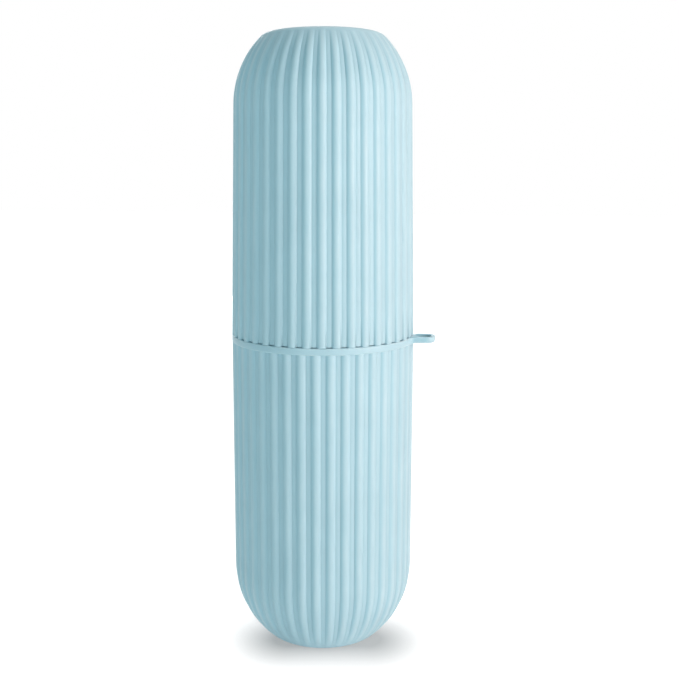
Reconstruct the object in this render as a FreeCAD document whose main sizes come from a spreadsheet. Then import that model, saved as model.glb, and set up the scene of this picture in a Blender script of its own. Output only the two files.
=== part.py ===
import FreeCAD, Part
import math
import os
import Sketcher

# Travel case for toothbrushes: two fluted cups that meet at a seam, a neck sleeve that keeps them in line, and a soft
# seal ring round the neck. Lengths are in millimetres, angles in degrees. The foot stands on z = 0, the case's axis
# is Z, and the cord loop points along +X.

# Name, value and meaning of each driving size
SIZES = [
    ("base_height", 106.0, "foot to seam, rim band included"),
    ("crest_radius", 30.87, "ridge tops of the base at the seam"),
    ("base_draft", 0.05, "lean of the base's wall"),
    ("cover_height", 99.0, "seam to flat end"),
    ("cover_step", 0.08, "how far the cover's ridges stand out past the base's at the seam"),
    ("cover_draft", 1.05, "lean of the cover's wall"),
    ("cover_turn", 3.6, "how far the cover's flutes stand turned from the base's"),
    ("shoulder_radius", 31.6, "arc from wall to flat end, both cups"),
    ("edge_radius", 5.0, "round at the rim of the flat end"),
    ("flat_radius", 17.2, "flat disc at each end"),
    ("flute_count", 40, "ridges round each cup"),
    ("flute_depth", 0.7, "height of a ridge over the groove floor"),
    ("ridge_share", 0.66, "part of the pitch that a ridge takes"),
    ("fade_start", 18.0, "slope where the ridges begin to sink into the shoulder"),
    ("fade_end", 51.0, "slope where they are gone"),
    ("wall", 1.6, "plastic left under the groove floor"),
    ("gate_radius", 2.5, "moulding dimple in the middle of each end"),
    ("gate_depth", 0.35, "depth of that dimple"),
    ("band_step", 0.07, "how far the smooth band stands out past the base's ridges"),
    ("band_height", 2.3, "height of the band and of the loop"),
    ("band_round", 0.4, "soft edges of the band and loop"),
    ("loop_reach", 7.4, "how far the loop stands out from the band"),
    ("loop_width", 7.6, "loop across both bars"),
    ("loop_bar", 1.2, "thickness of the loop's bars"),
    ("loop_corner", 2.6, "outer corners of the loop"),
    ("loop_blend", 1.8, "hollow where the loop flows out of the band"),
    ("seat_step", 0.35, "how much wider than the inside the seat of the sleeve is"),
    ("seat_depth", 14.0, "how deep the sleeve sits in the base"),
    ("sleeve_wall", 1.5, "thickness of the neck sleeve"),
    ("neck_height", 16.0, "how far the sleeve stands over the seam"),
    ("neck_lead", 0.7, "bevel at the top of the neck"),
    ("neck_clearance", 0.15, "sleeve to cover, all round"),
    ("neck_headroom", 2.0, "top of the neck to the ledge in the cover"),
    ("seal_height", 8.0, "seam to the middle of the seal groove"),
    ("seal_width", 1.8, "seal groove along the axis"),
    ("seal_depth", 0.7, "depth of the seal groove"),
    ("seal_clearance", 0.05, "seal to groove and seal to cover"),
    ("seal_round", 0.25, "soft outer edges of the seal"),
]

# Cuts run this far past the faces that they open
OVERRUN = 5.0

# Two places nearer than this are the same place
CLOSE = 0.01

# The band is a solid disc until the inside is cut, and the fluted wall begins this share of the way down it
BAND_OVERLAP_SHARE = 0.5

# Where the fluted sections stand along the shoulder arc and along the round at its end
SHOULDER_SHARES = (0.0, 0.15, 0.3, 0.45, 0.6, 0.75, 0.9, 1.0)
ROUND_SHARES = (0.2, 0.4, 0.6, 0.8, 1.0)

doc = FreeCAD.newDocument("travel_case")
sheet = doc.addObject("Spreadsheet::Sheet", "Sizes")
for row, (name, value, meaning) in enumerate(SIZES, start=1):
    sheet.set(f"A{row}", name)
    sheet.set(f"B{row}", str(value))
    sheet.setAlias(f"B{row}", name)
    sheet.set(f"C{row}", meaning)
doc.recompute()


class Cell:
    """A size from the sheet, or a sum of sizes: its number, and the expression that keeps a feature bound to it."""

    def __init__(self, value, text):
        self.value = value
        self.text = text

    def __add__(self, other):
        return Cell(self.value + other.value, f"({self.text} + {other.text})")

    def __sub__(self, other):
        return Cell(self.value - other.value, f"({self.text} - {other.text})")

    def half(self):
        return Cell(self.value / 2, f"({self.text} / 2)")


def cell(name):
    return Cell(float(getattr(sheet, name)), f"Sizes.{name}")


def size(name):
    return cell(name).value


def plain(value):
    return Cell(value, str(value))


ZERO = plain(0.0)
SEAM = cell("base_height")
TOP = SEAM + cell("cover_height")
SKIN = cell("wall") + cell("flute_depth")
BASE_RADIUS = cell("crest_radius")
COVER_RADIUS = BASE_RADIUS + cell("cover_step")
BAND_RADIUS = BASE_RADIUS + cell("band_step")
SLEEVE_RADIUS = BASE_RADIUS - SKIN + cell("seat_step")
SOCKET_RADIUS = SLEEVE_RADIUS + cell("neck_clearance")


def new_body(name):
    body = doc.addObject("PartDesign::Body", name)
    body.Label = name
    return body


def new_sketch(body, name, role, lift=ZERO):
    """A sketch on one of the body's own planes, lifted along that plane's normal."""
    sketch = body.newObject("Sketcher::SketchObject", name)
    plane = next(part for part in body.Origin.OriginFeatures if part.Role == role)
    sketch.AttachmentSupport = [(plane, "")]
    sketch.MapMode = "FlatFace"
    sketch.AttachmentOffset = FreeCAD.Placement(FreeCAD.Vector(0, 0, lift.value), FreeCAD.Rotation())
    sketch.setExpression("AttachmentOffset.Base.z", lift.text)
    sketch.Visibility = False
    return sketch


def tie_start(sketch, edge, across, up):
    """Ties the start of an edge to its two coordinates, each bound to the sheet."""
    for kind, coordinate in (("DistanceX", across), ("DistanceY", up)):
        index = sketch.addConstraint(Sketcher.Constraint(kind, -1, 1, edge, 1, coordinate.value))
        sketch.setExpression(f"Constraints[{index}]", coordinate.text)


def draw_polygon(sketch, corners):
    """A closed outline of straight edges whose corners are pairs of cells."""
    points = [FreeCAD.Vector(across.value, up.value, 0) for across, up in corners]
    lines = [Part.LineSegment(start, stop) for start, stop in zip(points, points[1:] + points[:1])]
    edges = list(sketch.addGeometry(lines, False))
    for edge, following in zip(edges, edges[1:] + edges[:1]):
        sketch.addConstraint(Sketcher.Constraint("Coincident", edge, 2, following, 1))
    for edge, (across, up) in zip(edges, corners):
        tie_start(sketch, edge, across, up)


def turn_sketch(body, kind, name, sketch):
    """Turns a half profile right round the Z axis, to add plastic or to cut it away."""
    feature = body.newObject(f"PartDesign::{kind}", name)
    feature.Profile = sketch
    feature.ReferenceAxis = (sketch, ["V_Axis"])
    feature.Angle = 360
    feature.Refine = False
    doc.recompute()
    return feature


def turned_ring(body, name, corners):
    sketch = new_sketch(body, f"{name}_profile", "XZ_Plane")
    draw_polygon(sketch, corners)
    return turn_sketch(body, "Revolution", name, sketch)


def round_edges(body, name, base, radius, wanted):
    """Rounds the edges of a feature that a test picks out."""
    names = [f"Edge{number}" for number, edge in enumerate(base.Shape.Edges, start=1) if wanted(edge)]
    fillet = body.newObject("PartDesign::Fillet", name)
    fillet.Base = (base, names)
    fillet.Radius = radius.value
    fillet.setExpression("Radius", radius.text)
    doc.recompute()
    return fillet


def is_level(edge):
    return edge.BoundBox.ZLength < CLOSE


def is_upright(edge):
    start, stop = edge.Vertexes[0].Point, edge.Vertexes[-1].Point
    return math.hypot(stop.x - start.x, stop.y - start.y) < CLOSE < abs(stop.z - start.z)


class Cup:
    """The turned shape of one cup: a leaning wall, a shoulder arc, and a round that runs out into the flat end.

    Radii and levels are those of the ridge tops, and levels count from the mouth toward the flat end."""

    def __init__(self, name, radius, draft, height, turn, upward):
        self.body = new_body(name)
        self.name = name
        self.radius = radius
        self.height = height
        self.turn = math.radians(turn)
        self.upward = upward
        self.lean = math.radians(draft)
        # The shoulder's centre lies one shoulder radius inside the wall, and its arc touches the round at the end.
        self.round_centre = (size("flat_radius"), height - size("edge_radius"))
        reach = size("shoulder_radius") - size("edge_radius")
        at_mouth = radius - size("shoulder_radius") / math.cos(self.lean)
        aside = at_mouth - self.round_centre[0]
        slant = math.tan(self.lean)
        square = 1 + slant**2
        middle = self.round_centre[1] + aside * slant
        rest = aside**2 + self.round_centre[1] ** 2 - reach**2
        level = (middle - math.sqrt(middle**2 - square * rest)) / square
        self.centre = (at_mouth - level * slant, level)
        self.meet = math.atan2(self.round_centre[1] - level, self.round_centre[0] - self.centre[0])

    def lift(self, level):
        """The height above the foot of a level counted from the mouth."""
        return SEAM + level if self.upward else SEAM - level

    def shoulder_point(self, angle, inset):
        reach = size("shoulder_radius") - inset
        return self.centre[0] + reach * math.cos(angle), self.centre[1] + reach * math.sin(angle)

    def round_point(self, angle, inset):
        reach = size("edge_radius") - inset
        return self.round_centre[0] + reach * math.cos(angle), self.round_centre[1] + reach * math.sin(angle)

    def add_fluted_skin(self, start):
        """The fluted outside as a solid: a straight wall from the start level, then the dome to the flat end."""
        stations = [(self.radius - start * math.tan(self.lean), start, self.lean)]
        for share in SHOULDER_SHARES:
            angle = self.lean + (self.meet - self.lean) * share
            stations.append((*self.shoulder_point(angle, 0), angle))
        for share in ROUND_SHARES:
            angle = self.meet + (math.pi / 2 - self.meet) * share
            stations.append((*self.round_point(angle, 0), angle))
        sections = []
        for number, (radius, level, slope) in enumerate(stations):
            sketch_name = f"{self.name}_section_{number}"
            section = new_sketch(self.body, sketch_name, "XY_Plane", self.lift(plain(level)))
            section.addGeometry(flute_outline(radius, flute_depth(slope), self.turn), False)
            sections.append(section)
        self.add_loft("straight_wall", sections[:2], True)
        self.add_loft("dome", sections[1:], False)

    def add_loft(self, name, sections, ruled):
        loft = self.body.newObject("PartDesign::AdditiveLoft", f"{self.name}_{name}")
        loft.Profile = sections[0]
        loft.Sections = sections[1:]
        loft.Ruled = ruled
        loft.Refine = False
        doc.recompute()

    def cut_inside(self, bore, depth):
        """Cuts the smooth inside, with a plain bore at the mouth, and the small dimple that hides the moulding gate."""

        def at(point):
            return FreeCAD.Vector(point[0], self.lift(plain(point[1])).value, 0)

        def arc(spot, start, stop):
            angles = (start, (start + stop) / 2, stop)
            return Part.Arc(*[at(spot(angle, SKIN.value)) for angle in angles])

        wall_end = self.shoulder_point(self.lean, SKIN.value)
        ledge = wall_end[0] + (wall_end[1] - depth.value) * math.tan(self.lean)
        floor = self.height - SKIN.value
        mouth_corners = [(0, -OVERRUN), (bore.value, -OVERRUN), (bore.value, depth.value), (ledge, depth.value)]
        wall_line = [at(corner) for corner in mouth_corners + [wall_end]]
        floor_line = [at((size("flat_radius"), floor)), at((0, floor)), wall_line[0]]
        edges = [Part.LineSegment(start, stop) for start, stop in zip(wall_line, wall_line[1:])]
        edges.append(arc(self.shoulder_point, self.lean, self.meet))
        edges.append(arc(self.round_point, self.meet, math.pi / 2))
        edges += [Part.LineSegment(start, stop) for start, stop in zip(floor_line, floor_line[1:])]
        sketch = new_sketch(self.body, f"{self.name}_inside", "XZ_Plane")
        sketch.addGeometry(edges, False)
        gate = cell("gate_radius")
        inner, outer = self.lift(plain(self.height) - cell("gate_depth")), self.lift(plain(self.height + OVERRUN))
        draw_polygon(sketch, [(ZERO, inner), (gate, inner), (gate, outer), (ZERO, outer)])
        turn_sketch(self.body, "Groove", f"{self.name}_hollow", sketch)


def flute_depth(slope):
    """Depth of the grooves across a level section: full on the wall, gone where the round of the end begins."""
    start = math.radians(size("fade_start"))
    stop = math.radians(size("fade_end"))
    share = min(max((slope - start) / (stop - start), 0), 1)
    strength = 1 - share**2 * (3 - 2 * share)
    return size("flute_depth") * strength / math.cos(min(slope, stop))


def flute_outline(crest_radius, depth, turn):
    """Arcs of one level section: each ridge bulges from the groove floor up to the crest, and each floor is level."""
    count = round(size("flute_count"))
    pitch = 2 * math.pi / count
    ridge = pitch * size("ridge_share")
    floor_radius = crest_radius - depth

    def arc(start, stop, middle_radius):
        places = ((floor_radius, start), (middle_radius, (start + stop) / 2), (floor_radius, stop))
        return Part.Arc(*[FreeCAD.Vector(far * math.cos(angle), far * math.sin(angle), 0) for far, angle in places])

    arcs = []
    for step in range(count):
        left = turn + step * pitch - ridge / 2
        arcs.append(arc(left, left + ridge, crest_radius))
        arcs.append(arc(left + ridge, left + pitch, floor_radius))
    return arcs


# Base cup

base = Cup("base_cup", BASE_RADIUS.value, size("base_draft"), size("base_height"), 0, False)
band_floor = SEAM - cell("band_height")
loop_tip = BAND_RADIUS + cell("loop_reach")
hole_end = loop_tip - cell("loop_bar")
half_loop = cell("loop_width").half()
half_hole = half_loop - cell("loop_bar")


def band_feature(kind, name, sketch):
    """Pads a sketch up through the band's height, or cuts it out."""
    feature = base.body.newObject(f"PartDesign::{kind}", name)
    feature.Profile = sketch
    feature.Length = size("band_height")
    feature.setExpression("Length", "Sizes.band_height")
    feature.Reversed = kind == "Pocket"
    doc.recompute()
    return feature


def band_rectangle(name, near, far, half_width):
    sketch = new_sketch(base.body, name, "XY_Plane", band_floor)
    back, front = ZERO - half_width, half_width
    draw_polygon(sketch, [(near, back), (far, back), (far, front), (near, front)])
    return sketch


def corner_of_loop(across, near, far):
    """A test for the upright edges at one distance from the loop's middle line, between two distances out."""

    def wanted(edge):
        corner = edge.Vertexes[0]
        return is_upright(edge) and abs(abs(corner.Y) - across.value) < CLOSE and near < corner.X < far

    return wanted


# The band begins as a plain disc and the loop as a tab on it, with a hole for a cord.
disc_outline = new_sketch(base.body, "band_outline", "XY_Plane", band_floor)
disc_outline.addGeometry(Part.Circle(FreeCAD.Vector(), FreeCAD.Vector(0, 0, 1), BAND_RADIUS.value), False)
disc_outline.addConstraint(Sketcher.Constraint("Coincident", 0, 3, -1, 1))
radius_index = disc_outline.addConstraint(Sketcher.Constraint("Radius", 0, BAND_RADIUS.value))
disc_outline.setExpression(f"Constraints[{radius_index}]", BAND_RADIUS.text)
band_feature("Pad", "rim_band", disc_outline)
band_feature("Pad", "loop_tab", band_rectangle("tab_outline", SLEEVE_RADIUS, loop_tip, half_loop))
shape = band_feature("Pocket", "loop_hole", band_rectangle("hole_outline", BAND_RADIUS, hole_end, half_hole))

# The loop's corners are round, it flows out of the band in two hollows, and every edge is soft to the hand.
hole_corner = cell("loop_corner") - cell("loop_bar")
for name, radius, wanted in (
    ("loop_corners", cell("loop_corner"), corner_of_loop(half_loop, hole_end.value, loop_tip.value + CLOSE)),
    ("hole_corners", hole_corner, corner_of_loop(half_hole, 0, loop_tip.value)),
    ("loop_hollows", cell("loop_blend"), corner_of_loop(half_loop, 0, BAND_RADIUS.value)),
    ("band_edges", cell("band_round"), is_level),
):
    shape = round_edges(base.body, name, shape, radius, wanted)

base.add_fluted_skin(size("band_height") * BAND_OVERLAP_SHARE)
base.cut_inside(SLEEVE_RADIUS, cell("seat_depth"))

# Cover

cover = Cup("cover", COVER_RADIUS.value, size("cover_draft"), size("cover_height"), size("cover_turn"), True)
cover.add_fluted_skin(0)
cover.cut_inside(SOCKET_RADIUS, cell("neck_height") + cell("neck_headroom"))

# Neck sleeve

sleeve = new_body("neck_sleeve")
sleeve_inside = SLEEVE_RADIUS - cell("sleeve_wall")
sleeve_foot = SEAM - cell("seat_depth")
sleeve_top = SEAM + cell("neck_height")
seal_middle = SEAM + cell("seal_height")
groove_low = seal_middle - cell("seal_width").half()
groove_high = seal_middle + cell("seal_width").half()
groove_floor = SLEEVE_RADIUS - cell("seal_depth")
turned_ring(
    sleeve,
    "sleeve_tube",
    [
        (sleeve_inside, sleeve_foot),
        (SLEEVE_RADIUS, sleeve_foot),
        (SLEEVE_RADIUS, groove_low),
        (groove_floor, groove_low),
        (groove_floor, groove_high),
        (SLEEVE_RADIUS, groove_high),
        (SLEEVE_RADIUS, sleeve_top - cell("neck_lead")),
        (SLEEVE_RADIUS - cell("neck_lead"), sleeve_top),
        (sleeve_inside, sleeve_top),
    ],
)

# Seal ring

seal = new_body("seal_ring")
play = cell("seal_clearance")
seal_inside = groove_floor + play
seal_outside = SOCKET_RADIUS - play
seal_low = groove_low + play
seal_high = groove_high - play
ring = turned_ring(
    seal,
    "seal_band",
    [(seal_inside, seal_low), (seal_outside, seal_low), (seal_outside, seal_high), (seal_inside, seal_high)],
)


def on_seal_outside(edge):
    return is_level(edge) and abs(edge.Curve.Radius - seal_outside.value) < CLOSE


round_edges(seal, "seal_edges", ring, cell("seal_round"), on_seal_outside)

# Check every object, then write one file for each piece

doc.recompute()
for item in doc.Objects:
    if "Invalid" in item.State or "Error" in item.State:
        raise RuntimeError(f"{item.Label} did not build")
os.makedirs("parts", exist_ok=True)
for body in (base.body, cover.body, sleeve, seal):
    solid = body.Shape
    if solid.isNull() or not solid.isValid() or len(solid.Solids) != 1:
        raise RuntimeError(f"{body.Label} is not one sound solid")
    solid.exportStep(f"parts/{body.Label}.step")
    print(body.Label, "volume", round(solid.Volume), "faces", len(solid.Faces))
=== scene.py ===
# %% [markdown]
# # A fluted travel case for toothbrushes
#
# The case is two ribbed cups of pale blue plastic that meet at a seam. The lower cup carries a smooth rim
# band with a small loop for a cord, a thin sleeve stands up out of it, and a soft ring round that sleeve
# grips the upper cup. The solid model gives every piece its place and size, so this lesson starts by
# loading it. It could be shown as it is, but each piece is built again here, with soft edges, mould marks
# and finishes that a plain solid doesn't have.

# %% Load the solid model
import math

import bmesh
import bpy
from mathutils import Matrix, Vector


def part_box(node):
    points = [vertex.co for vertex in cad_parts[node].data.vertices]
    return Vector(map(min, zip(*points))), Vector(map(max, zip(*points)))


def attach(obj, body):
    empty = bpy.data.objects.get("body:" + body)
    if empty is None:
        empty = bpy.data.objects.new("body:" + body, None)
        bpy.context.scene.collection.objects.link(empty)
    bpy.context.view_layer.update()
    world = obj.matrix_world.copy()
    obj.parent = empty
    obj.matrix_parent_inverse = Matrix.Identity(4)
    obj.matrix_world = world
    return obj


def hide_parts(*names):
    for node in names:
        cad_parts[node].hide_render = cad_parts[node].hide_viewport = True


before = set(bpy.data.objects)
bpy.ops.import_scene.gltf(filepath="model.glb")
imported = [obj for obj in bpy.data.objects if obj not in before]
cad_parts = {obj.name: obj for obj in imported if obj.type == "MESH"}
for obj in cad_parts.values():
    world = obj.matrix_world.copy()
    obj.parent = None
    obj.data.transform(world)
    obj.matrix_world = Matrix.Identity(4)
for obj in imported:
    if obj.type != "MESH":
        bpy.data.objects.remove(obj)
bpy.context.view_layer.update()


# %% [markdown]
# ## Heights from the solid model
#
# The cover stands on the seam, and the foot of the base stands on the floor. These heights could be typed
# in again, but a height that is read from the solids can't drift away from them. Other lengths are given in
# millimetres and turned into Blender's metres by one factor.

# %% Heights of the foot, the seam and the top
MM = 0.001
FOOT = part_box("base_cup")[0].z
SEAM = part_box("cover")[0].z
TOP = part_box("cover")[1].z
print(f"foot {FOOT / MM:.2f} mm, seam {SEAM / MM:.2f} mm, top {TOP / MM:.2f} mm")

# %% [markdown]
# ## The outline of a cup
#
# Each cup came out of a steel mould. Its wall leans a little so that the steel lets go, a broad shoulder
# turns it in, and a small round runs out into the flat end. A curve with a Screw modifier would turn such a
# shape, but the ridges change from level to level, so the outline is worked out as a row of stations
# instead. A station keeps the radius of the ridge tops, the level counted from the mouth, and the slope of
# the skin at that place. The shoulder's centre lies one shoulder radius inside the wall, at the level where
# its arc just touches the round of the end.

# %% Outline of a cup
SHOULDER_RADIUS = 31.6 * MM
EDGE_RADIUS = 5.0 * MM
FLAT_RADIUS = 17.2 * MM
ROUND_STEPS = 12
SHOULDER_STEPS = 28
WALL_STEPS = 8
QUARTER = math.pi / 2


def arc_stations(centre, radius, start, stop, steps):
    """Stations along an arc; on an arc the slope of the skin is the angle itself."""
    angles = [start + (stop - start) * step / steps for step in range(steps + 1)]
    across, along = centre
    return [(across + radius * math.cos(angle), along + radius * math.sin(angle), angle) for angle in angles]


class CupOutline:
    """Half of a cup cut down the middle."""

    def __init__(self, mouth_radius, lean, height):
        self.lean = lean
        self.height = height
        self.round_centre = (FLAT_RADIUS, height - EDGE_RADIUS)
        at_mouth = mouth_radius - SHOULDER_RADIUS / math.cos(lean)
        aside = at_mouth - FLAT_RADIUS
        slant = math.tan(lean)
        square = 1 + slant**2
        middle = self.round_centre[1] + aside * slant
        rest = aside**2 + self.round_centre[1] ** 2 - (SHOULDER_RADIUS - EDGE_RADIUS) ** 2
        level = (middle - math.sqrt(middle**2 - square * rest)) / square
        self.shoulder_centre = (at_mouth - level * slant, level)
        self.meet = math.atan2(self.round_centre[1] - level, FLAT_RADIUS - self.shoulder_centre[0])

    def stations(self, inset, last_level):
        """From the rim of the flat end to a level near the mouth, on the skin or so far inside it."""
        found = arc_stations(self.round_centre, EDGE_RADIUS - inset, QUARTER, self.meet, ROUND_STEPS)
        broad = SHOULDER_RADIUS - inset
        found += arc_stations(self.shoulder_centre, broad, self.meet, self.lean, SHOULDER_STEPS)[1:]
        radius, level, slope = found[-1]
        for step in range(1, WALL_STEPS + 1):
            wall_level = level + (last_level - level) * step / WALL_STEPS
            found.append((radius + (level - wall_level) * math.tan(slope), wall_level, slope))
        return found


CREST_RADIUS = 30.87 * MM
COVER_STEP = 0.08 * MM
BASE_LEAN = math.radians(0.05)
COVER_LEAN = math.radians(1.05)
base_outline = CupOutline(CREST_RADIUS, BASE_LEAN, SEAM - FOOT)
cover_outline = CupOutline(CREST_RADIUS + COVER_STEP, COVER_LEAN, TOP - SEAM)
for cup in (base_outline, cover_outline):
    print("shoulder centre", round(cup.shoulder_centre[1] / MM, 1), "mm from the mouth")

# %% [markdown]
# ## Ridges and grooves
#
# Forty rounded ridges run down each cup, with a shallow groove between each two, and they sink slowly into
# the shoulder until the rim of the flat end is smooth. A displacement texture could raise them, but it
# would blur the thin dark line at a ridge's foot that gives this case its look. Here each level of the cup
# is one ring of columns instead: many columns over the ridge, closest together at its feet where the
# surface turns fastest, and some in the groove. The floor of a groove is crowned by less than a tenth of a
# millimetre, which draws a fine light line along it. Its edges lie a little deeper than the flat groove of
# the solid model, so that on average the two are equally deep.

# %% Shape of the ridges
RIDGE_COUNT = 40
PITCH = 2 * math.pi / RIDGE_COUNT
RIDGE_SHARE = 0.66
HALF_RIDGE = PITCH * RIDGE_SHARE / 2
GROOVE_DEPTH = 0.76 * MM
FADE_START = math.radians(18)
FADE_END = math.radians(51)
RIDGE_SHARES = (-1, -0.93, -0.8, -0.6, -0.4, -0.2, 0, 0.2, 0.4, 0.6, 0.8, 0.93, 1)
GROOVE_SHARES = (0.08, 0.29, 0.5, 0.71, 0.92)
GROOVE_CROWN = 0.09 * MM


def ease(share):
    """A share from 0 to 1 that starts and ends gently."""
    share = min(max(share, 0), 1)
    return share * share * (3 - 2 * share)


def groove_depth(slope):
    """Depth of the grooves across a level cut: full on the wall, gone where the end's round begins."""
    strength = 1 - ease((slope - FADE_START) / (FADE_END - FADE_START))
    return GROOVE_DEPTH * strength / math.cos(min(slope, FADE_END))


def ridge_columns(turn):
    """Angle of each column round a cup, its angle from its ridge's middle, and its share of the crown."""
    columns = []
    for number in range(RIDGE_COUNT):
        middle = turn + number * PITCH
        columns += [(middle + share * HALF_RIDGE, share * HALF_RIDGE, 0) for share in RIDGE_SHARES]
        groove = PITCH - 2 * HALF_RIDGE
        for share in GROOVE_SHARES:
            columns.append((middle + HALF_RIDGE + share * groove, HALF_RIDGE, 1 - (2 * share - 1) ** 2))
    return columns


def skin_radius(crest, depth, off_middle, crown):
    """Radius on a level cut: an arc over each ridge that comes down onto the groove's crowned floor."""
    floor = crest - depth
    centre = (crest**2 - floor**2) / (2 * (crest - floor * math.cos(HALF_RIDGE)))
    beside = centre * math.sin(off_middle)
    arc = centre * math.cos(off_middle) + math.sqrt((crest - centre) ** 2 - beside**2)
    return arc + crown * GROOVE_CROWN * depth / GROOVE_DEPTH


ridge_width = 2 * HALF_RIDGE * CREST_RADIUS
print("columns round a cup:", len(ridge_columns(0)), "ridge width in mm:", round(ridge_width / MM, 2))

# %% [markdown]
# ## Growing a skin ring by ring
#
# A moulded shell is easiest to think of as rings: start at the middle of one end, lay ring after ring over
# the outside, turn in at the mouth and come back along the inside. Modifiers such as Solidify could thicken
# a single sheet, but they would also copy the ridges to the inside, which is smooth on the real case. Every
# point also keeps a number, called wear_and_shade: 1 where fingers and bags polish the plastic and the
# finish paints a lighter highlight, 0 where nothing touches it, and less than 0 where the finish paints
# shade into slots. The finishes use that number later.

# %% A mesh that grows in rings
WEAR_AND_SHADE = "wear_and_shade"
FAIR_SHARE = 0.5


def round_place(angle, far, height):
    """The place at a height that lies so far from the axis, in the direction of an angle."""
    return (far * math.cos(angle), far * math.sin(angle), height)


def neighbours(ring):
    """Pairs of neighbours, all the way round a closed ring."""
    return zip(ring, ring[1:] + ring[:1])


def place_object(name, data):
    """A new object that is linked into the scene."""
    made = bpy.data.objects.new(name, data)
    bpy.context.scene.collection.objects.link(made)
    return made


class RingMesh:
    """Collects rings of points, joins them with faces, and turns the result into a named piece."""

    def __init__(self):
        self.mesh = bmesh.new()
        self.wear_and_shade = self.mesh.verts.layers.float.new(WEAR_AND_SHADE)

    def point(self, place, wear_shade):
        vertex = self.mesh.verts.new(place)
        vertex[self.wear_and_shade] = wear_shade
        return vertex

    def level_ring(self, columns, height, wear_shade=FAIR_SHARE):
        """A ring at one height from pairs of angle and radius."""
        return [self.point(round_place(angle, far, height), wear_shade) for angle, far in columns]

    def join(self, first, second):
        """Faces between two rings; where one has more points, a face takes several of its edges."""
        if len(first) < len(second):
            first, second = second, first
        each = len(first) // len(second)
        for number, corner in enumerate(second):
            start = number * each
            edge = [first[(start + step) % len(first)] for step in range(each + 1)]
            self.mesh.faces.new(edge + [second[(number + 1) % len(second)], corner])

    def close(self, ring, place):
        """A fan of faces from a ring to one point."""
        tip = self.point(place, FAIR_SHARE)
        for first, second in neighbours(ring):
            self.mesh.faces.new((first, second, tip))

    def piece(self, name, sharp_angle):
        """The finished object, shaded smooth but for edges sharper than the given angle."""
        bmesh.ops.recalc_face_normals(self.mesh, faces=self.mesh.faces[:])
        for face in self.mesh.faces:
            face.smooth = True
        data = bpy.data.meshes.new(name)
        self.mesh.to_mesh(data)
        self.mesh.free()
        data.set_sharp_from_angle(angle=sharp_angle)
        print(name, "points", len(data.vertices), "faces", len(data.polygons))
        return place_object(name, data)


# %% [markdown]
# ## The flat end and its gate mark
#
# Molten plastic enters the mould through a small hole, the gate, in the middle of the flat end. When the
# sprue breaks off it leaves a nub, so the mould maker sinks that spot in a shallow dimple, and the case
# still stands flat. Most models leave such a mark out, but it is what one sees when the case is turned
# over. It is only a few more rings. The flat disc needs few columns, so its rings take every fourth one and
# join the ridged skin at the disc's rim.

# %% Rings of the flat end
GATE_RADIUS = 2.5 * MM
GATE_DEPTH = 0.35 * MM
NUB_RADIUS = 0.7 * MM
NUB_HEIGHT = 0.22 * MM
GATE_SOFT = 0.12 * MM
DISC_RADII = (6 * MM, 14 * MM)
INNER_EVERY = 4


def sparse_ring(columns, radius):
    """Angle and radius of every fourth column, for the smooth surfaces."""
    return [(column[0], radius) for column in columns[::INNER_EVERY]]


def lay_flat_end(rings, columns, at_level, height):
    """Gate mark and flat disc; gives back the outermost ring of the disc."""
    line = [
        (NUB_RADIUS - GATE_SOFT, GATE_DEPTH - NUB_HEIGHT),
        (NUB_RADIUS, GATE_DEPTH - NUB_HEIGHT + GATE_SOFT),
        (NUB_RADIUS + GATE_SOFT, GATE_DEPTH),
        (GATE_RADIUS - GATE_SOFT, GATE_DEPTH),
        (GATE_RADIUS, GATE_DEPTH - GATE_SOFT),
        (GATE_RADIUS + GATE_SOFT, 0),
    ]
    line += [(radius, 0) for radius in DISC_RADII]
    ring = None
    for radius, sunk in line:
        following = rings.level_ring(sparse_ring(columns, radius), at_level(height - sunk))
        if ring is None:
            rings.close(following, (0, 0, at_level(height - GATE_DEPTH + NUB_HEIGHT)))
        else:
            rings.join(ring, following)
        ring = following
    return ring


# %% [markdown]
# ## The ridged outside and the smooth inside
#
# Both cups are made the same way, apart from their mouths. The outside lays one ring per station with the
# ridges of that level. The inside starts as a plain bore, steps in at a ledge, and follows the same outline
# one skin thickness further in. The inside takes every fourth column too, so the two sides meet without a
# gap.

# %% Rings of the outside and of the inside
SKIN = 2.3 * MM
SMOOTH_DEPTH = 0.12 * MM  # grooves that are shallower count as smooth skin


def lay_outside(rings, outline, columns, at_level, last_level):
    """Ridged skin from the flat end's rim to a level near the mouth; gives back its last ring."""
    ring = lay_flat_end(rings, columns, at_level, outline.height)
    for crest, level, slope in outline.stations(0, last_level):
        depth = groove_depth(slope)
        following = []
        for angle, off_middle, crown in columns:
            far = skin_radius(crest, depth, off_middle, crown)
            raised = (far - crest + depth) / depth if depth > SMOOTH_DEPTH else FAIR_SHARE
            following.append(rings.point(round_place(angle, far, at_level(level)), raised))
        rings.join(ring, following)
        ring = following
    return ring


def lay_inside(rings, outline, columns, at_level, start_ring, bore, bore_depth):
    """Bore, ledge, wall and dome of the inside, closed in the middle of the end."""
    stations = outline.stations(SKIN, bore_depth)[::-1]
    line = [(bore, bore_depth)] + [(radius, level) for radius, level, slope in stations]
    ring = start_ring
    for radius, level in line:
        following = rings.level_ring(sparse_ring(columns, radius), at_level(level))
        rings.join(ring, following)
        ring = following
    rings.close(ring, (0, 0, at_level(outline.height - SKIN)))


# %% [markdown]
# ## The base cup's shell
#
# The lower cup stands on its flat end. Its wall runs up until it is hidden halfway inside the smooth rim
# band, and the sleeve sits in its mouth. One could let the wall end where the band begins, but two surfaces
# that end on the same line let light through, so one always goes on a little inside the other.

# %% Base shell
SEAT_STEP = 0.35 * MM
SEAT_DEPTH = 14.0 * MM
BAND_HEIGHT = 2.3 * MM
BAND_HIDES_SHARE = 0.5
SLEEVE_RADIUS = CREST_RADIUS - SKIN + SEAT_STEP
CREASE = math.radians(65)


def below_seam(level):
    """Height of a level of the base, which is counted down from its mouth."""
    return SEAM - level


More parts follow.
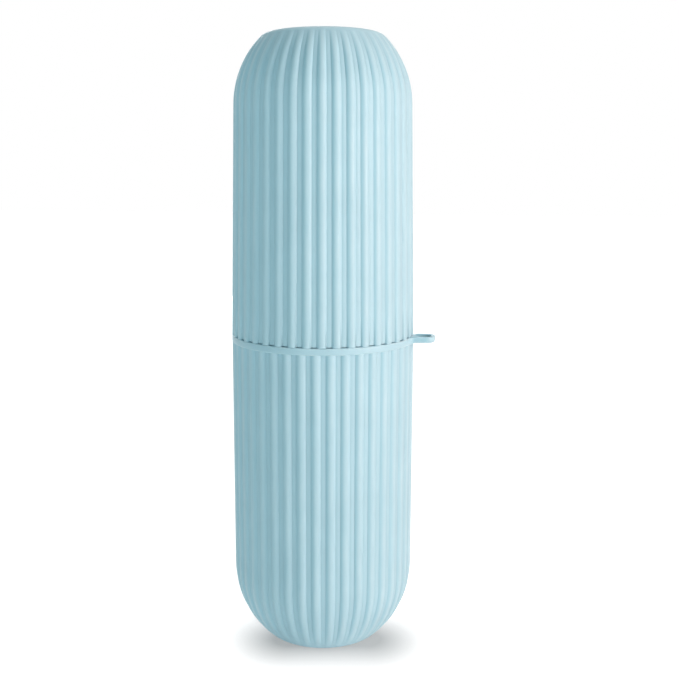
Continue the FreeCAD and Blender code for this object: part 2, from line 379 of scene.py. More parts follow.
base_rings = RingMesh()
base_columns = ridge_columns(0)
base_rim = lay_outside(base_rings, base_outline, base_columns, below_seam, BAND_HEIGHT * BAND_HIDES_SHARE)
seat_columns = sparse_ring(base_columns, SLEEVE_RADIUS)
seat_ring = base_rings.level_ring(seat_columns, below_seam(BAND_HEIGHT * BAND_HIDES_SHARE))
base_rings.join(base_rim, seat_ring)
lay_inside(base_rings, base_outline, base_columns, below_seam, seat_ring, SLEEVE_RADIUS, SEAT_DEPTH)
base_shell = base_rings.piece("base_shell", CREASE)

# %% [markdown]
# ## The cover's shell
#
# The upper cup is a little wider at the seam and stands turned by nearly half a ridge, as covers do that
# nobody lines up. At its mouth the ridges run right down to the band, while the grooves stop a little short
# of it. That leaves a slot over each groove, and those slots are the row of short dark dashes along the
# seam. Painting dashes would be quicker, but they would not darken and brighten with the light, so the
# slots are cut into the rings themselves, more than twice as deep as they are high. The walls of the slots
# are also marked for painted shade, a dark blue-grey that the finish lays over them to deepen the dashes.

# %% Cover shell
COVER_TURN = math.radians(3.6)
NECK_CLEARANCE = 0.15 * MM
SOCKET_RADIUS = SLEEVE_RADIUS + NECK_CLEARANCE
SOCKET_DEPTH = 18.0 * MM
RIDGE_GAP = 0.04 * MM
GROOVE_GAP = 0.3 * MM
SLOT_END_SHARE = 0.45
MOUTH_SOFT = 0.15 * MM
SLOT_RADIUS = SOCKET_RADIUS + 2 * MOUTH_SOFT
# Mark for painted shade: points with this value get a dark colour laid over them in the finish.
PAINTED_SHADE_MARK = -1


def above_seam(level):
    """Height of a level of the cover, which is counted up from its mouth."""
    return SEAM + level


def lay_slots(rings, rim, columns):
    """Turns a cover's skin in at the mouth, higher over the grooves than over the ridges."""
    ceiling, wall = [], []
    for vertex, (angle, off_middle, crown) in zip(rim, columns):
        gap = GROOVE_GAP + (RIDGE_GAP - GROOVE_GAP) * ease(vertex[rings.wear_and_shade] / SLOT_END_SHARE)
        vertex.co.z = above_seam(gap)
        for ring, level in ((ceiling, gap), (wall, 0)):
            # The slot's ceiling and back wall carry the painted shade mark.
            ring.append(rings.point(round_place(angle, SLOT_RADIUS, above_seam(level)), PAINTED_SHADE_MARK))
    rings.join(rim, ceiling)
    rings.join(ceiling, wall)
    return wall


cover_rings = RingMesh()
cover_columns = ridge_columns(COVER_TURN)
cover_rim = lay_outside(cover_rings, cover_outline, cover_columns, above_seam, GROOVE_GAP)
mouth_ring = lay_slots(cover_rings, cover_rim, cover_columns)
for inside, level in ((SOCKET_RADIUS + MOUTH_SOFT, 0), (SOCKET_RADIUS, MOUTH_SOFT)):
    socket_ring = cover_rings.level_ring(sparse_ring(cover_columns, inside), above_seam(level))
    cover_rings.join(mouth_ring, socket_ring)
    mouth_ring = socket_ring
lay_inside(cover_rings, cover_outline, cover_columns, above_seam, mouth_ring, SOCKET_RADIUS, SOCKET_DEPTH)
cover_shell = cover_rings.piece("cover_shell", CREASE)

# %% [markdown]
# ## The rim band and its cord loop
#
# The band and the loop are one flat shape seen from above: a ring with an ear, and a rounded slot through
# the ear. A filled curve with a bevel would do, but then the soft edge swells out past the drawn line and
# the caps shade unevenly. So the outlines are drawn as points instead, walked with the plastic always on
# the left hand.

# %% Outlines of the band, the loop and the slot
BAND_STEP = 0.07 * MM
BAND_RADIUS = CREST_RADIUS + BAND_STEP
BAND_OVERLAP = 0.2 * MM
BAND_INSIDE = SLEEVE_RADIUS - BAND_OVERLAP
LOOP_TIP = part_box("base_cup")[1].x
LOOP_HALF = 3.8 * MM
LOOP_BAR = 1.2 * MM
LOOP_CORNER = 2.6 * MM
LOOP_BLEND = 1.8 * MM
CIRCLE_STEPS = 240
CORNER_STEPS = 10


def arc_points(centre, radius, start, stop, steps):
    return [(x, y) for x, y, angle in arc_stations(centre, radius, start, stop, steps)]


def loop_outline():
    """Round the band the long way, then out along one bar of the loop and back along the other."""
    side = LOOP_HALF + LOOP_BLEND
    hollow = math.sqrt((BAND_RADIUS + LOOP_BLEND) ** 2 - side**2)
    touch = math.atan2(side, hollow)
    corner = LOOP_TIP - LOOP_CORNER
    corner_side = LOOP_HALF - LOOP_CORNER
    points = arc_points((0, 0), BAND_RADIUS, touch, 2 * math.pi - touch, CIRCLE_STEPS)
    points += arc_points((hollow, -side), LOOP_BLEND, math.pi - touch, QUARTER, CORNER_STEPS)[1:]
    points += arc_points((corner, -corner_side), LOOP_CORNER, -QUARTER, 0, CORNER_STEPS)
    points += arc_points((corner, corner_side), LOOP_CORNER, 0, QUARTER, CORNER_STEPS)
    points += arc_points((hollow, side), LOOP_BLEND, 3 * QUARTER, math.pi + touch, CORNER_STEPS)[:-1]
    return points


def slot_outline():
    """The cord's rounded slot, walked the other way round so that the plastic is still on the left."""
    corner = LOOP_CORNER - LOOP_BAR
    near, far = BAND_RADIUS + corner, LOOP_TIP - LOOP_CORNER
    side = LOOP_HALF - LOOP_CORNER
    points = []
    for number, centre in enumerate(((far, side), (near, side), (near, -side), (far, -side))):
        points += arc_points(centre, corner, number * QUARTER, (number + 1) * QUARTER, CORNER_STEPS)
    return points[::-1]


seat_outline = arc_points((0, 0), BAND_INSIDE, 2 * math.pi, 0, CIRCLE_STEPS)[:-1]
band_outlines = [loop_outline(), slot_outline(), seat_outline]
print("points in the band's outlines:", [len(line) for line in band_outlines])

# %% [markdown]
# ## The edges of the band
#
# A moulded edge is never sharp, and this one is what a thumb feels for when it opens the case. A Bevel
# modifier could round it, but it knows nothing of the wear_and_shade number. So each outline is laid several
# times, moved toward the plastic, to roll its edges over, and one face closes the shape above and another
# below. The loop is a little thinner than the band and lies a little higher, so its points are lifted where
# it leaves the band. The slot's outline is marked for painted shade, which grows toward the loop's tip and
# darkens the inside of the slot there.

# %% Band with rolled edges
BAND_ROUND = 0.4 * MM
ROLL_STEPS = 5
LOOP_THINNER_SHARE = 0.15
LOOP_LIFT = 0.35 * MM


def moved_left(points, distance):
    """The same closed line, moved to the left of the way it is walked."""
    moved = []
    for number, (x, y) in enumerate(points):
        before, after = points[number - 1], points[(number + 1) % len(points)]
        along = Vector((after[0] - before[0], after[1] - before[1])).normalized()
        moved.append((x - along.y * distance, y + along.x * distance))
    return moved


def roll_line():
    """Inset, depth under the seam and wear of each line from the lower face round to the upper one."""
    rolled = []
    for step in range(ROLL_STEPS + 1):
        turn = QUARTER * step / ROLL_STEPS
        inset, depth = BAND_ROUND * (1 - math.sin(turn)), BAND_ROUND * (1 - math.cos(turn))
        rolled.append((inset, depth, math.sin(2 * turn)))
    return [(inset, BAND_HEIGHT - depth, worn) for inset, depth, worn in rolled] + rolled[::-1]


def band_point(rings, x, y, depth, worn, tip_shade):
    """A point so far under the seam, lifted if it is on the loop; painted shade on the slot grows toward the
    loop's tip.
    """
    away = math.hypot(x, y) - BAND_RADIUS
    out = ease(away / LOOP_BLEND)
    height = SEAM - depth * (1 - LOOP_THINNER_SHARE * out) + LOOP_LIFT * out
    wall = FAIR_SHARE + (tip_shade - FAIR_SHARE) * ease(away / LOOP_HALF)
    return rings.point((x, y, height), wall + (1 - wall) * worn)


def fill_face(rings, borders):
    """Triangles between closed borders; the borders stay crisp, so that the face shades flat."""
    edges = []
    for ring in borders:
        for first, second in neighbours(ring):
            edges.append(rings.mesh.edges.get((first, second)))
    bmesh.ops.triangle_fill(rings.mesh, use_beauty=True, use_dissolve=False, edges=edges)
    for edge in edges:
        edge.smooth = False


band_rings = RingMesh()
lower_borders, upper_borders = [], []
# The slot's outline carries the painted shade mark; the other outlines stay neutral.
for outline, tip_shade in zip(band_outlines, (FAIR_SHARE, PAINTED_SHADE_MARK, FAIR_SHARE)):
    laid = []
    for inset, depth, worn in roll_line():
        points = moved_left(outline, inset)
        laid.append([band_point(band_rings, x, y, depth, worn, tip_shade) for x, y in points])
    for first, second in zip(laid, laid[1:]):
        band_rings.join(first, second)
    lower_borders.append(laid[0])
    upper_borders.append(laid[-1])
fill_face(band_rings, lower_borders)
fill_face(band_rings, upper_borders)
rim_band = band_rings.piece("rim_band_with_loop", CREASE)
print("band and loop in mm:", [round(value / MM, 2) for value in rim_band.dimensions])

# %% [markdown]
# ## Turned pieces with soft corners
#
# The sleeve and the seal are rings that were turned or moulded from one small outline. The Screw modifier
# could spin it, and a Bevel modifier could round it afterward. Doing both in one helper keeps the
# wear_and_shade number on the corners, so the finish knows where the plastic is worn. Each corner of the
# outline is replaced by a short curve.

# %% Spinning an outline
TURNED_COLUMNS = 160
BEND_SHARES = (0, 0.25, 0.5, 0.75, 1)


def soft_line(corners):
    """A closed outline from corners and their softness, as radius, height and rub."""
    line = []
    for number, (radius, height, soft) in enumerate(corners):
        corner = Vector((radius, height))
        before = Vector(corners[number - 1][:2]) - corner
        after = Vector(corners[(number + 1) % len(corners)][:2]) - corner
        start, stop = corner + before.normalized() * soft, corner + after.normalized() * soft
        for share in BEND_SHARES:
            spot = start.lerp(corner, share).lerp(corner.lerp(stop, share), share)
            line.append((spot.x, spot.y, 1 - abs(2 * share - 1)))
    return line


def turned_piece(name, corners):
    rings = RingMesh()
    angles = [2 * math.pi * number / TURNED_COLUMNS for number in range(TURNED_COLUMNS)]
    laid = []
    for radius, height, wear_shade in soft_line(corners):
        laid.append(rings.level_ring([(angle, radius) for angle in angles], height, wear_shade))
    for first, second in neighbours(laid):
        rings.join(first, second)
    return rings.piece(name, CREASE)


# %% [markdown]
# ## The neck sleeve
#
# A thin tube is pressed into the base's mouth and stands up inside the cover, where it keeps the two cups
# in line. It has a bevelled top that finds its way into the cover and a groove for the seal. It is hidden
# while the case is shut, and it is the first thing one sees when the cover is lifted.

# %% Neck sleeve
SLEEVE_WALL = 1.5 * MM
NECK_HEIGHT = 16.0 * MM
NECK_LEAD = 0.7 * MM
SEAL_LIFT = 8.0 * MM
SEAL_WIDTH = 1.8 * MM
SEAL_DEPTH = 0.7 * MM
LIP_SOFT = 0.3 * MM
FINE_SOFT = 0.1 * MM
neck_top = SEAM + NECK_HEIGHT
groove_low = SEAM + SEAL_LIFT - SEAL_WIDTH / 2
groove_high = SEAM + SEAL_LIFT + SEAL_WIDTH / 2
groove_radius = SLEEVE_RADIUS - SEAL_DEPTH
sleeve_inside = SLEEVE_RADIUS - SLEEVE_WALL
neck_sleeve = turned_piece(
    "neck_sleeve_tube",
    [
        (sleeve_inside, SEAM - SEAT_DEPTH, LIP_SOFT),
        (SLEEVE_RADIUS, SEAM - SEAT_DEPTH, FINE_SOFT),
        (SLEEVE_RADIUS, groove_low, FINE_SOFT),
        (groove_radius, groove_low, FINE_SOFT),
        (groove_radius, groove_high, FINE_SOFT),
        (SLEEVE_RADIUS, groove_high, FINE_SOFT),
        (SLEEVE_RADIUS, neck_top - NECK_LEAD, LIP_SOFT),
        (SLEEVE_RADIUS - NECK_LEAD, neck_top, LIP_SOFT),
        (sleeve_inside, neck_top, LIP_SOFT),
    ],
)

# %% [markdown]
# ## The seal ring
#
# A soft ring lies in the sleeve's groove. It turns with the cover, so it is a piece of its own. Its outer
# face is crowned, because a ring that touches along a narrow line slides easily and still keeps damp in.

# %% Seal ring
SEAL_PLAY = 0.05 * MM
SEAL_CROWN = 0.15 * MM
SEAL_SOFT = 0.25 * MM
seal_low = groove_low + SEAL_PLAY
seal_high = groove_high - SEAL_PLAY
seal_inside = groove_radius + SEAL_PLAY
seal_outside = SOCKET_RADIUS - SEAL_PLAY
seal_ring = turned_piece(
    "seal_ring_band",
    [
        (seal_inside, seal_low, FINE_SOFT),
        (seal_outside - SEAL_CROWN, seal_low, SEAL_SOFT),
        (seal_outside, (seal_low + seal_high) / 2, SEAL_SOFT),
        (seal_outside - SEAL_CROWN, seal_high, SEAL_SOFT),
        (seal_inside, seal_high, FINE_SOFT),
    ],
)

# %% [markdown]
# ## What moves with what
#
# The shell, the band and the sleeve belong to the base. The seal turns, and the cover turns and lifts. Each
# piece is told which body it rides on and which solid it stands for, and that solid is then hidden.

# %% Bodies of the pieces
PIECES = (
    (base_shell, "base", "base_cup", "case_plastic"),
    (rim_band, "base", "base_cup", "case_plastic"),
    (cover_shell, "cover", "cover", "case_plastic"),
    (neck_sleeve, "base", "neck_sleeve", "neck_plastic"),
    (seal_ring, "seal", "seal_ring", "seal_rubber"),
)
for piece, body, node, slot in PIECES:
    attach(piece, body)
    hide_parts(node)
    print(piece.name, "rides on", body, "and stands for", node)

# %% [markdown]
# ## Building blocks for the finishes
#
# All the plastics here share three effects: pigment that is never mixed quite evenly, the fine skin that a
# mould's steel leaves, and the polish or dust that use leaves, which also carries a painted highlight on
# polished edges and painted shade in slots. Each effect is a node group, built once and placed in every
# material with its own values. A helper makes an empty group with named sockets, and another adds a node and
# fills in its inputs, so that the cells after this one show only what matters.

# %% Helpers for node trees
SOCKETS = {"colour": "NodeSocketColor", "value": "NodeSocketFloat"}


def new_group(name, inputs, outputs):
    """An empty node group; inputs and outputs are pairs of socket name and kind."""
    group = bpy.data.node_groups.new(name, "ShaderNodeTree")
    for direction, sockets in (("INPUT", inputs), ("OUTPUT", outputs)):
        for socket_name, kind in sockets:
            group.interface.new_socket(name=socket_name, in_out=direction, socket_type=SOCKETS[kind])
    return group, group.nodes.new("NodeGroupInput"), group.nodes.new("NodeGroupOutput")


def fill_inputs(tree, node, inputs):
    """Sets each input to a value, or links it if an output socket is given."""
    for key, value in dict(inputs).items():
        if isinstance(value, bpy.types.NodeSocket):
            tree.links.new(value, node.inputs[key])
        else:
            node.inputs[key].default_value = value


def add_node(tree, kind, inputs=(), **settings):
    """Adds a node with its settings, then fills its inputs."""
    node = tree.nodes.new(kind)
    for name, value in settings.items():
        setattr(node, name, value)
    fill_inputs(tree, node, inputs)
    return node


def place_group(tree, group, inputs):
    return add_node(tree, "ShaderNodeGroup", inputs, node_tree=group)


def math_node(tree, operation, first, second):
    return add_node(tree, "ShaderNodeMath", {0: first, 1: second}, operation=operation).outputs[0]


def vector_node(tree, operation, first, second=(0, 0, 0)):
    return add_node(tree, "ShaderNodeVectorMath", {0: first, 1: second}, operation=operation).outputs


def blend_values(tree, share, first, second):
    inputs = {"Factor": share, "A": first, "B": second}
    return add_node(tree, "ShaderNodeMix", inputs, data_type="FLOAT").outputs["Result"]


def remap(tree, value, low, high, new_low, new_high):
    """Moves a value from one range to another and holds it there."""
    inputs = {"Value": value, "From Min": low, "From Max": high, "To Min": new_low, "To Max": new_high}
    return add_node(tree, "ShaderNodeMapRange", inputs, clamp=True).outputs["Result"]


def noise_at(tree, places, size, detail):
    """Soft noise whose lumps are about as large as the given size."""
    scale = math_node(tree, "DIVIDE", 1, size)
    inputs = {"Vector": places, "Scale": scale, "Detail": detail}
    return add_node(tree, "ShaderNodeTexNoise", inputs).outputs["Fac"]


def object_places(tree):
    return add_node(tree, "ShaderNodeTexCoord").outputs["Object"]


# %% [markdown]
# ## Pigment clouds
#
# Coloured granules melt and swirl on their way into the mould. What is left of that is a very faint
# cloudiness, and streaks along the way the plastic flowed, which is the length of the case. A plain colour
# would look like paint. Streaks come from noise in coordinates that are squeezed along the length.

# %% Pigment group
FLOW_SHARE = 0.12
CLOUD_DETAIL = 3
STREAK_SHARE = 0.5

pigment_inputs = (("Colour", "colour"), ("Cloud Size", "value"), ("Unevenness", "value"))
pigment, given, result = new_group("pigment_clouds", pigment_inputs, (("Colour", "colour"),))
places = object_places(pigment)
flow = vector_node(pigment, "MULTIPLY", places, (1, 1, FLOW_SHARE))["Vector"]
streak_size = math_node(pigment, "MULTIPLY", given.outputs["Cloud Size"], STREAK_SHARE)
clouds = noise_at(pigment, places, given.outputs["Cloud Size"], CLOUD_DETAIL)
streaks = noise_at(pigment, flow, streak_size, CLOUD_DETAIL)
swirl = math_node(pigment, "SUBTRACT", math_node(pigment, "ADD", clouds, streaks), 1)
amount = math_node(pigment, "MULTIPLY", swirl, given.outputs["Unevenness"])
strength = math_node(pigment, "ADD", amount, 1)
tint_inputs = {0: given.outputs["Colour"], "Scale": strength}
tinted = add_node(pigment, "ShaderNodeVectorMath", tint_inputs, operation="SCALE")
pigment.links.new(tinted.outputs[0], result.inputs["Colour"])
print("group", pigment.name, "nodes", len(pigment.nodes))

# %% [markdown]
# ## The skin that the mould leaves
#
# The mould was spark eroded, which gives the plastic a fine even grain, and the walls sink a little as they
# cool, which gives broad shallow waves. Real grain is smaller than a pixel, so displaced geometry would be
# wasted on it. A height for a Bump node and a change in roughness are enough to make highlights soft and
# lively.

# %% Moulded skin group
GRAIN_DETAIL = 2
WAVE_SIZE = 9 * MM
WAVE_DETAIL = 1
GRAIN_HEIGHT_SHARE = 0.55
NOISE_MIDDLE = 0.5

skin_inputs = (("Roughness", "value"), ("Spread", "value"), ("Grain Size", "value"))
skin, given, result = new_group("moulded_skin", skin_inputs, (("Roughness", "value"), ("Height", "value")))
places = object_places(skin)
grain = noise_at(skin, places, given.outputs["Grain Size"], GRAIN_DETAIL)
waves = noise_at(skin, places, WAVE_SIZE, WAVE_DETAIL)
skin.links.new(blend_values(skin, GRAIN_HEIGHT_SHARE, waves, grain), result.inputs["Height"])
swing = math_node(skin, "MULTIPLY", math_node(skin, "SUBTRACT", waves, NOISE_MIDDLE), given.outputs["Spread"])
skin.links.new(math_node(skin, "ADD", given.outputs["Roughness"], swing), result.inputs["Roughness"])
print("group", skin.name, "nodes", len(skin.nodes))

# %% [markdown]
# ## Polish with painted highlight, dust, and painted shade
#
# Fingers and bags polish what stands out, a trace of dust stays in the grooves, and the slots that no cloth
# reaches get painted shade. Polished places are also painted a lighter colour, a painted highlight. The
# wear_and_shade number on the meshes says where. Pure numbers would look stencilled, so polish and dust are
# broken up with noise before they are used.

# %% Handling group
POLISH_FROM = 0.6
DUST_UP_TO = 0.35
BREAKUP_LOW = 0.3
BREAKUP_HIGH = 0.7

handling_inputs = (("Wear and Shade", "value"), ("Patch Size", "value"))
handling_outputs = (("Polish and Highlight", "value"), ("Dust", "value"), ("Painted Shade", "value"))
handling, given, result = new_group("polish_highlight_dust_shade", handling_inputs, handling_outputs)
patches = noise_at(handling, object_places(handling), given.outputs["Patch Size"], CLOUD_DETAIL)
patchy = remap(handling, patches, BREAKUP_LOW, BREAKUP_HIGH, 0, 1)
still = remap(handling, patches, BREAKUP_LOW, BREAKUP_HIGH, 1, 0)
raised = remap(handling, given.outputs["Wear and Shade"], POLISH_FROM, 1, 0, 1)
sunken = remap(handling, given.outputs["Wear and Shade"], 0, DUST_UP_TO, 1, 0)
handling.links.new(math_node(handling, "MULTIPLY", raised, patchy), result.inputs["Polish and Highlight"])
handling.links.new(math_node(handling, "MULTIPLY", sunken, still), result.inputs["Dust"])
# Painted shade: the negative marks in the slots become a mask for a dark colour.
handling.links.new(remap(handling, given.outputs["Wear and Shade"], PAINTED_SHADE_MARK, 0, 1, 0), result.inputs["Painted Shade"])
print("group", handling.name, "nodes", len(handling.nodes))

# %% [markdown]
# ## From groups to a material
#
# Every finish is the same chain with other values: pigment gives the colour, dust greys it a little in
# hollows, painted shade darkens the slots and a painted highlight brightens the polished edges, the skin
# gives roughness and bump, and polish makes the roughness lower. The shader itself stays in the material.
# A table of values per finish keeps the differences easy to see.

# %% A moulded plastic
BUMP_DEPTH = 0.03 * MM
DUST_TINT_SHARE = 0.3
# The painted shade darkens the slots toward a dark blue-grey at this share.
PAINTED_SHADE_SHARE = 0.6
POLISH_SMOOTHS = 0.06
PAINTED_SHADE_COLOUR = (0.04, 0.1, 0.115, 1)
DUST_COLOUR = (0.36, 0.5, 0.56, 1)
# Pale colour of the painted highlight on polished edges and crests.
HIGHLIGHT_PAINT_COLOUR = (0.8, 0.9, 0.93, 1)
MIX_FIRST, MIX_SECOND, MIX_RESULT = 6, 7, 2  # places of the colour sockets on a Mix node


def blend_colours(tree, share, first, second):
    inputs = {"Factor": share, MIX_FIRST: first, MIX_SECOND: second}
    return add_node(tree, "ShaderNodeMix", inputs, data_type="RGBA").outputs[MIX_RESULT]


def moulded_material(name, finish):
    """A plastic from a table of its values: the three groups feed one shader."""
    material = bpy.data.materials.new(name)
    material.use_nodes = True
    tree = material.node_tree
    shader = tree.nodes["Principled BSDF"]
    wear_shade = add_node(tree, "ShaderNodeAttribute", attribute_name=WEAR_AND_SHADE).outputs["Fac"]
    colour = place_group(tree, pigment, finish["pigment"]).outputs["Colour"]
    grain = place_group(tree, skin, finish["skin"])
    use = place_group(tree, handling, {"Wear and Shade": wear_shade, "Patch Size": finish["patch"]})
    dusty = math_node(tree, "MULTIPLY", use.outputs["Dust"], DUST_TINT_SHARE)
    highlight_share = math_node(tree, "MULTIPLY", use.outputs["Polish and Highlight"], finish["highlight_paint"])
    painted_shade = math_node(tree, "MULTIPLY", use.outputs["Painted Shade"], PAINTED_SHADE_SHARE)
    colour = blend_colours(tree, dusty, colour, DUST_COLOUR)
    # Painted highlight: polished edges and crests are lightened; the same mask also lowers the roughness.
    colour = blend_colours(tree, highlight_share, colour, HIGHLIGHT_PAINT_COLOUR)
    # Painted shade: the slots are darkened.
    colour = blend_colours(tree, painted_shade, colour, PAINTED_SHADE_COLOUR)
    tree.links.new(colour, shader.inputs["Base Color"])
    smoother = math_node(tree, "MULTIPLY", use.outputs["Polish and Highlight"], POLISH_SMOOTHS)
    rough = math_node(tree, "SUBTRACT", grain.outputs["Roughness"], smoother)
    tree.links.new(rough, shader.inputs["Roughness"])
    bump_inputs = {"Strength": finish["bump"], "Distance": BUMP_DEPTH, "Height": grain.outputs["Height"]}
    bump = add_node(tree, "ShaderNodeBump", bump_inputs)
    tree.links.new(bump.outputs["Normal"], shader.inputs["Normal"])
    for socket, value in finish["shader"].items():
        shader.inputs[socket].default_value = value
    print("material", name, "nodes", len(tree.nodes))
    return material


# %% [markdown]
# ## The finish of each piece
#
# The cups are a soft pale blue, matt with a gentle sheen. The band is the same plastic from a smoother part
# of the mould. The sleeve was left milky, almost without pigment, and the seal is cloudy silicone, which is
# rough to the eye and has a faint sheen. The colours are written as linear values, as the shader expects
# them.

# %% Finishes of the pieces
CASE_BLUE = (0.43, 0.635, 0.715, 1)
MILKY = (0.68, 0.76, 0.775, 1)
CLOUDY = (0.6, 0.68, 0.7, 1)

case_finish = {
    "pigment": {"Colour": CASE_BLUE, "Cloud Size": 11 * MM, "Unevenness": 0.05},
    "skin": {"Roughness": 0.46, "Spread": 0.1, "Grain Size": 0.5 * MM},
    "highlight_paint": 0.18,
    "patch": 14 * MM,
    "bump": 0.22,
    "shader": {"Specular IOR Level": 0.4},
}
band_finish = {
    "pigment": {"Colour": CASE_BLUE, "Cloud Size": 8 * MM, "Unevenness": 0.04},
    "skin": {"Roughness": 0.42, "Spread": 0.1, "Grain Size": 0.5 * MM},
    # A larger painted highlight lightens the band's rolled edges.
    "highlight_paint": 0.6,
    "patch": 5 * MM,
    "bump": 0.14,
    "shader": {"Specular IOR Level": 0.45},
}
neck_finish = {
    "pigment": {"Colour": MILKY, "Cloud Size": 9 * MM, "Unevenness": 0.05},
    "skin": {"Roughness": 0.38, "Spread": 0.12, "Grain Size": 0.7 * MM},
    "highlight_paint": 0.25,
    "patch": 10 * MM,
    "bump": 0.15,
    "shader": {"Specular IOR Level": 0.5},
}
seal_finish = {
    "pigment": {"Colour": CLOUDY, "Cloud Size": 5 * MM, "Unevenness": 0.07},
    "skin": {"Roughness": 0.6, "Spread": 0.14, "Grain Size": 0.3 * MM},
    "highlight_paint": 0.1,
    "patch": 6 * MM,
    "bump": 0.3,
    "shader": {"Specular IOR Level": 0.4, "Sheen Weight": 0.15},
}
case_plastic = moulded_material("case_plastic_pale_blue", case_finish)
FINISHES = (
    (base_shell, case_plastic),
    (cover_shell, case_plastic),
    (rim_band, moulded_material("rim_plastic_pale_blue", band_finish)),
    (neck_sleeve, moulded_material("neck_plastic_milky", neck_finish)),
    (seal_ring, moulded_material("seal_silicone_cloudy", seal_finish)),
)
for piece, material in FINISHES:
    piece.data.materials.append(material)

# %% [markdown]
# ## The floor
#
# The case stands on a white ground that runs out into a white background. A lamp strong enough to bleach
# the floor would bleach the case as well. Instead the floor keeps a plain white paint, which takes the soft
# shadow, and rays that come straight from the camera or from a mirror or glass see a greyer paint with a
# glow on it. That glow is made weaker in a round patch under the belly of the case and in a longer one
# toward the front, which paints a soft shadow there, and it grows to plain white round them. A patch is
# given by its middle, its turn, half the length of the line it lies round, its weakest glow, and how far
# from that line it starts and stops. For all other rays the floor shines a little, as white paper does in a
# bright room, and that lifts the lower end of the case.

# %% White floor
FLOOR_SIZE = 6.0
FLOOR_CELLS = 2
WHITE = (1, 1, 1, 1)
FLOOR_PAINT = (0.86, 0.86, 0.86, 1)
SEEN_PAINT = (0.25, 0.25, 0.25, 1)
# Painted shadow: a round dim patch under the belly of the case.
PAINTED_SHADOW_UNDER_BELLY = {
    "middle": (0, 0, 0),
    "turn": 0,
    "half_long": 0,
    "weakest_share": 0.42,
    "start": 17 * MM,
    "stop": 28 * MM,
}
# Painted shadow: a longer dim patch toward the front.
PAINTED_SHADOW_IN_FRONT = {
    "middle": (4.4 * MM, -11.4 * MM, 0),
    "turn": math.radians(-13.4),
    "half_long": 13.5 * MM,
    "weakest_share": 0.34,
    "start": 5 * MM,
    "stop": 22.5 * MM,
}
PAPER_SHINE = 0.14


def seen_directly(tree):
    """1 for rays from the camera, a mirror or glass, and 0 for light that bounces off paint."""
    path = add_node(tree, "ShaderNodeLightPath").outputs
    mirrored = math_node(tree, "MAXIMUM", path["Is Glossy Ray"], path["Is Transmission Ray"])
    return math_node(tree, "MAXIMUM", path["Is Camera Ray"], mirrored)


def glow_with_painted_shadow(tree, middle, turn, half_long, weakest_share, start, stop):
    """Glow round a dim patch that paints a soft shadow: weakest up to the start, growing to 1 at the stop,
    round a short line.
    """
    off_middle = vector_node(tree, "SUBTRACT", object_places(tree), middle)["Vector"]
    turn_inputs = {"Vector": off_middle, "Angle": turn}
    turned = add_node(tree, "ShaderNodeVectorRotate", turn_inputs, rotation_type="Z_AXIS")
    folded = vector_node(tree, "ABSOLUTE", turned.outputs["Vector"])["Vector"]
    past_end = vector_node(tree, "SUBTRACT", folded, (half_long, 0, 0))["Vector"]
    beside = vector_node(tree, "MAXIMUM", past_end)["Vector"]
    reach = vector_node(tree, "LENGTH", beside)["Value"]
    return remap(tree, reach, start, stop, weakest_share, 1)


floor_mesh = bmesh.new()
bmesh.ops.create_grid(floor_mesh, x_segments=FLOOR_CELLS, y_segments=FLOOR_CELLS, size=FLOOR_SIZE / 2)
floor_data = bpy.data.meshes.new("floor")
floor_mesh.to_mesh(floor_data)
floor_mesh.free()
floor = place_object("floor", floor_data)
floor.location.z = FOOT

floor_material = bpy.data.materials.new("floor_white")
floor_material.use_nodes = True
tree = floor_material.node_tree
paint = tree.nodes["Principled BSDF"]
direct = seen_directly(tree)
tree.links.new(blend_colours(tree, direct, FLOOR_PAINT, SEEN_PAINT), paint.inputs["Base Color"])
paint.inputs["Roughness"].default_value = 1
paint.inputs["Specular IOR Level"].default_value = 0
paint.inputs["Emission Color"].default_value = WHITE
# The white glow with both painted shadow patches cut into it.
glow_and_painted_shadow = math_node(tree, "MINIMUM", glow_with_painted_shadow(tree, **PAINTED_SHADOW_UNDER_BELLY), glow_with_painted_shadow(tree, **PAINTED_SHADOW_IN_FRONT))
tree.links.new(blend_values(tree, direct, PAPER_SHINE, glow_and_painted_shadow), paint.inputs["Emission Strength"])
floor.data.materials.append(floor_material)
print("floor", FLOOR_SIZE, "m across, nodes", len(tree.nodes))

# %% [markdown]
# ## The background and the soft light all round
#
# The background is white where it is seen and a good deal dimmer where it lights the case, for the same
# reason. That dim light fills the shaded side, a little cool, as daylight in a white room is. A picture of
# a real room could light the case as well, but on a matt plastic a plain colour looks much the same.

# %% World
FILL_COLOUR = (0.68, 0.96, 1, 1)
FILL_STRENGTH = 0.23

world = bpy.data.worlds.new("white_room")
bpy.context.scene.world = world
world.use_nodes = True
tree = world.node_tree
fill = tree.nodes["Background"]
fill.inputs["Color"].default_value = FILL_COLOUR
fill.inputs["Strength"].default_value = FILL_STRENGTH
white = add_node(tree, "ShaderNodeBackground", {"Color": WHITE, "Strength": 1})
chosen = add_node(tree, "ShaderNodeMixShader", {"Fac": seen_directly(tree)})
tree.links.new(fill.outputs[0], chosen.inputs[1])
tree.links.new(white.outputs[0], chosen.inputs[2])
tree.links.new(chosen.outputs[0], tree.nodes["World Output"].inputs["Surface"])
print("fill strength", FILL_STRENGTH)

# %% [markdown]
# ## The lamps
#
# A wide, tall soft box stands well round to the right. It lights one flank of every ridge and leaves the
# other in shade. A weaker and cooler one in front keeps the shaded flanks open, and a small one higher up
# on the right brightens that side of the top. Another box behind the case and a faint one above it light
# the sides that the camera doesn't see, so that the case can be looked at from all round. The big ones are
# low, so hardly any shadow falls across the floor. Point lamps would draw hard lines on the ridges.
# Bearings are counted from the front of the case, toward the loop, and elevations from its middle.

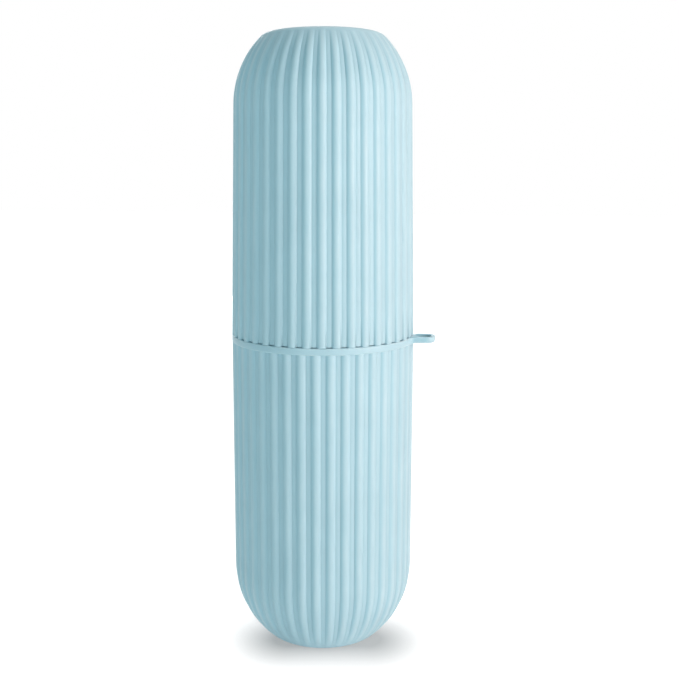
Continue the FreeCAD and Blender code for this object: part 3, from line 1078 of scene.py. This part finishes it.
# %% Soft boxes
LAMP_DISTANCE = 0.9
AIM = Vector((0, 0, (FOOT + TOP) / 2))
# Name, bearing and elevation in degrees, width and height in metres, watts and colour
LAMPS = (
    ("soft_box_key", 71, 3, (0.45, 0.7), 8.2, (1, 0.79, 0.73)),
    ("soft_box_front", -8, 3, (0.35, 0.7), 3, (0.7, 0.96, 1)),
    ("soft_box_high", 90, 35, (0.35, 0.5), 1.3, (1, 1, 1)),
    ("soft_box_back", 200, 3, (0.45, 0.7), 5.5, (1, 1, 1)),
    ("soft_box_top", 195, 65, (0.45, 0.45), 1, (1, 1, 1)),
)
for name, bearing, elevation, (width, tall), power, colour in LAMPS:
    lamp_data = bpy.data.lights.new(name, "AREA")
    lamp_data.shape = "RECTANGLE"
    lamp_data.size = width
    lamp_data.size_y = tall
    lamp_data.energy = power
    lamp_data.color = colour
    lamp = place_object(name, lamp_data)
    turn, rise = math.radians(bearing), math.radians(elevation)
    away = Vector((math.sin(turn) * math.cos(rise), -math.cos(turn) * math.cos(rise), math.sin(rise)))
    lamp.location = AIM + LAMP_DISTANCE * away
    lamp.rotation_euler = (-away).to_track_quat("-Z", "Y").to_euler()
    print(name, "at", tuple(round(value, 3) for value in lamp.location), "watts", power)

# %% [markdown]
# ## The camera
#
# The camera looks from a little above the middle and from slightly to the loop's side, from about a third
# of a metre, so the seam shows as a shallow curve. The small shift moves the case in the picture without
# turning the camera any further.

# %% Camera
CAMERA_PLACE = (0.0763, -0.3202, 0.162)
CAMERA_DOWN = math.radians(8.93)
CAMERA_BEARING = math.radians(13.4)
CAMERA_LENS = 51.43
CAMERA_SHIFT = (0.0242, -0.0308)

camera_data = bpy.data.cameras.new("camera")
camera_data.lens = CAMERA_LENS
camera_data.shift_x, camera_data.shift_y = CAMERA_SHIFT
camera = place_object("camera", camera_data)
camera.location = CAMERA_PLACE
camera.rotation_euler = (QUARTER - CAMERA_DOWN, 0, CAMERA_BEARING)
bpy.context.scene.camera = camera
bpy.context.scene.view_settings.view_transform = "Standard"
print("camera", CAMERA_PLACE, "lens", CAMERA_LENS)
